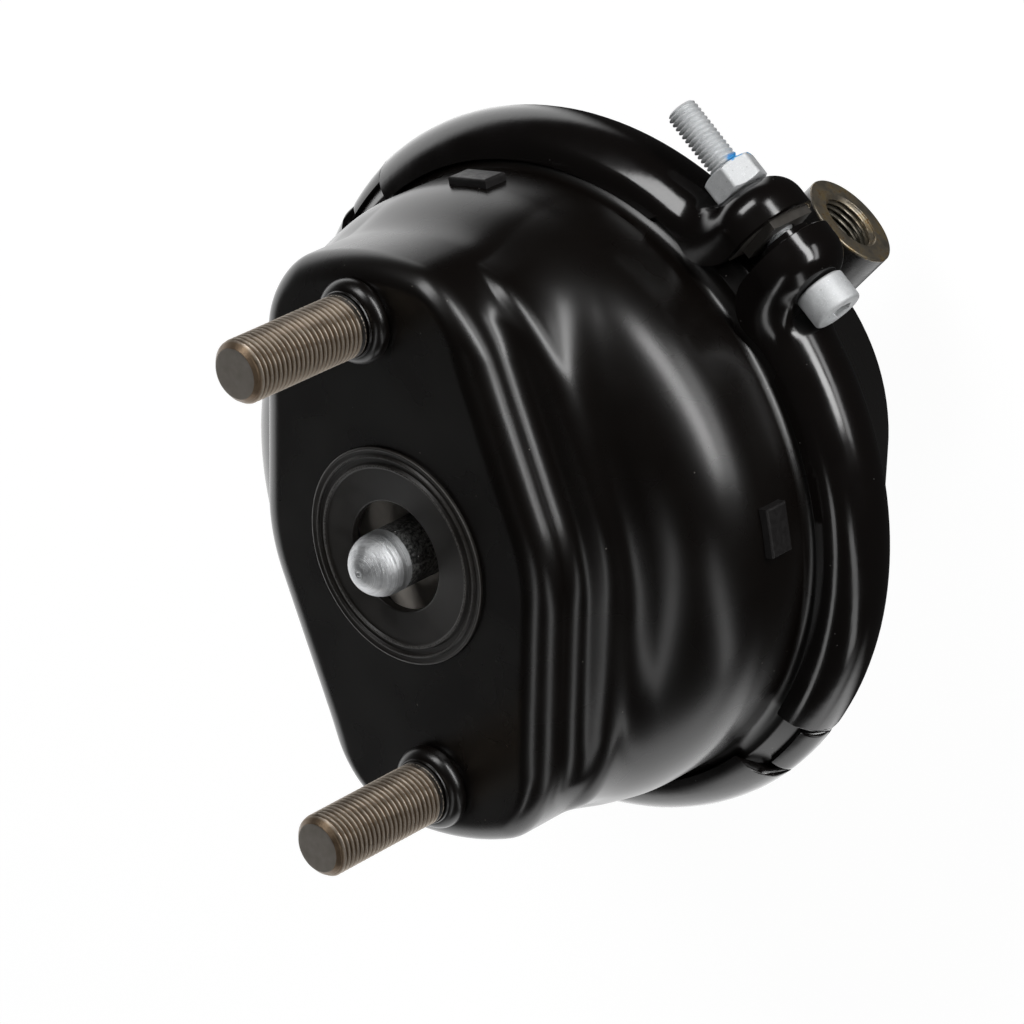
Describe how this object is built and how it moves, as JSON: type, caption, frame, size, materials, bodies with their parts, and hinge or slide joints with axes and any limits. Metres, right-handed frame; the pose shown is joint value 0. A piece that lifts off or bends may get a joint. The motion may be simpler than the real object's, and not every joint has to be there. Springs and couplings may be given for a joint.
{
  "type": "air brake chamber",
  "caption": "Round clamped air disc brake chamber: black stamped housings held by a V band, with mounting studs, a ball-ended pushrod, a return spring and a threaded air port.",
  "frame": {"origin": "centre of the flat mounting face, midway between the two studs", "axes": "+Z out of the mounting face, the way the pushrod comes out; +X from the middle towards stud_a"},
  "size_m": [0.1897, 0.1867, 0.1789],
  "materials": {
    "satin_black": "satin black paint",
    "gloss_black": "gloss black paint",
    "stud_steel": "oiled bronze-grey steel thread",
    "zinc_flake": "matte light grey zinc flake",
    "port_steel": "bare yellowed steel with a black painted side",
    "seal_rubber": "moulded black rubber",
    "plug_plastic": "moulded black plastic",
    "guide_plastic": "moulded light grey plastic",
    "rod_steel": "turned bright ball end on a dark shaft",
    "plate_steel": "zinc plated pressed steel",
    "spring_steel": "dark coated spring wire",
    "diaphragm_rubber": "fabric reinforced rubber"
  },
  "bodies": {
    "chamber": {"front_housing": "satin_black", "pressure_housing": "satin_black", "port_boss": "port_steel", "clamp_band": "gloss_black", "clamp_bolt": "zinc_flake", "clamp_nut": "zinc_flake", "ear_insert_nut_side": "plate_steel", "ear_insert_head_side": "plate_steel", "stud_a": "stud_steel", "stud_b": "stud_steel", "mouth_seal": "seal_rubber", "guide_disc": "guide_plastic", "spring_seat": "plate_steel", "return_spring": "spring_steel", "diaphragm": "diaphragm_rubber", "drain_plug_1": "plug_plastic", "drain_plug_2": "plug_plastic", "drain_plug_3": "plug_plastic", "drain_plug_4": "plug_plastic"},
    "pushrod_assembly": {"pushrod": "rod_steel", "push_plate": "plate_steel"}
  },
  "joints": [
    {"name": "pushrod_stroke", "type": "slide", "parent": "chamber", "child": "pushrod_assembly", "axis": [0, 0, 1], "range_m": [0, 0.057], "stiffness_N_per_m": 2500, "springref_m": -0.09, "deforming": ["return_spring", "diaphragm"]}
  ]
}
